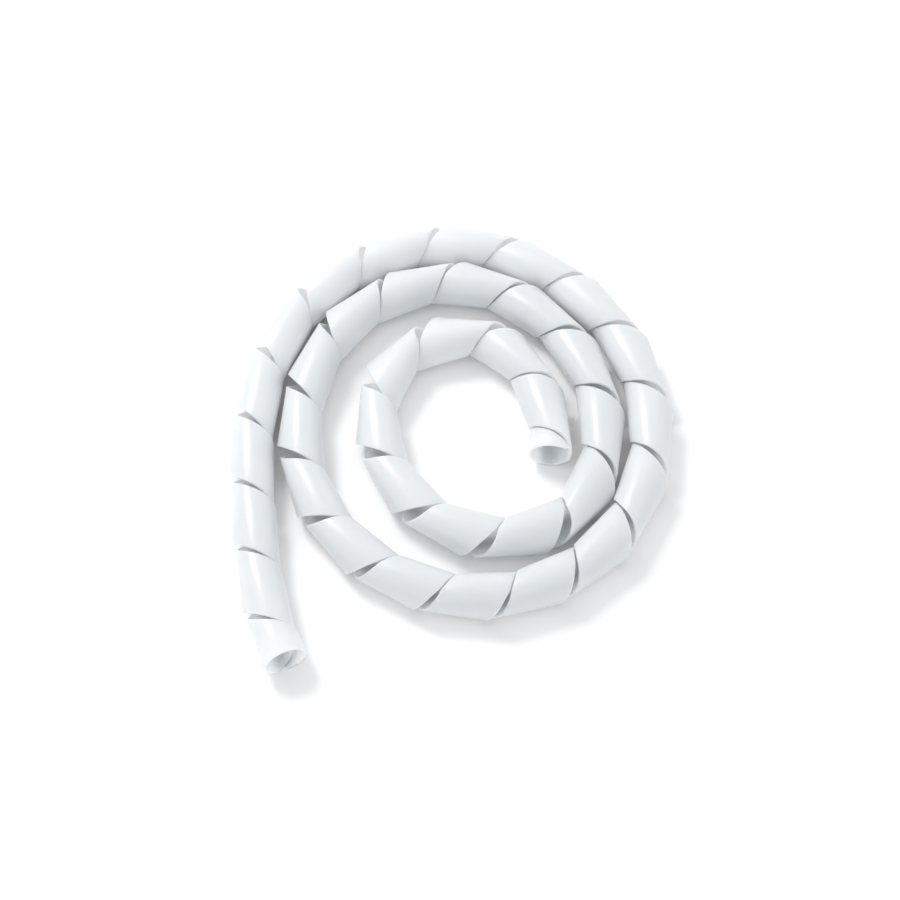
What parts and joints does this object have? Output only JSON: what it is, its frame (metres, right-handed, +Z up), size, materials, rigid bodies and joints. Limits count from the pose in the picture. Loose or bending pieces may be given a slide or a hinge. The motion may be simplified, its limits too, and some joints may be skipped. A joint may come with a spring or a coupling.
{
  "type": "spiral cable wrap",
  "caption": "Length of translucent white plastic spiral wrap for bundling wires, a tube cut along a helix, lying in a loose flat coil with square-cut ends.",
  "frame": {"origin": "on the floor under the middle of the coil's outline", "axes": "+Z up from the floor, -Y towards the coil's front where the tail end lies, +X to the right seen from the front"},
  "size_m": [0.1652, 0.1898, 0.0157],
  "materials": {
    "wrap_plastic": "glossy"
  },
  "bodies": {
    "root": {"spiral_wrap": "wrap_plastic"}
  },
  "joints": []
}
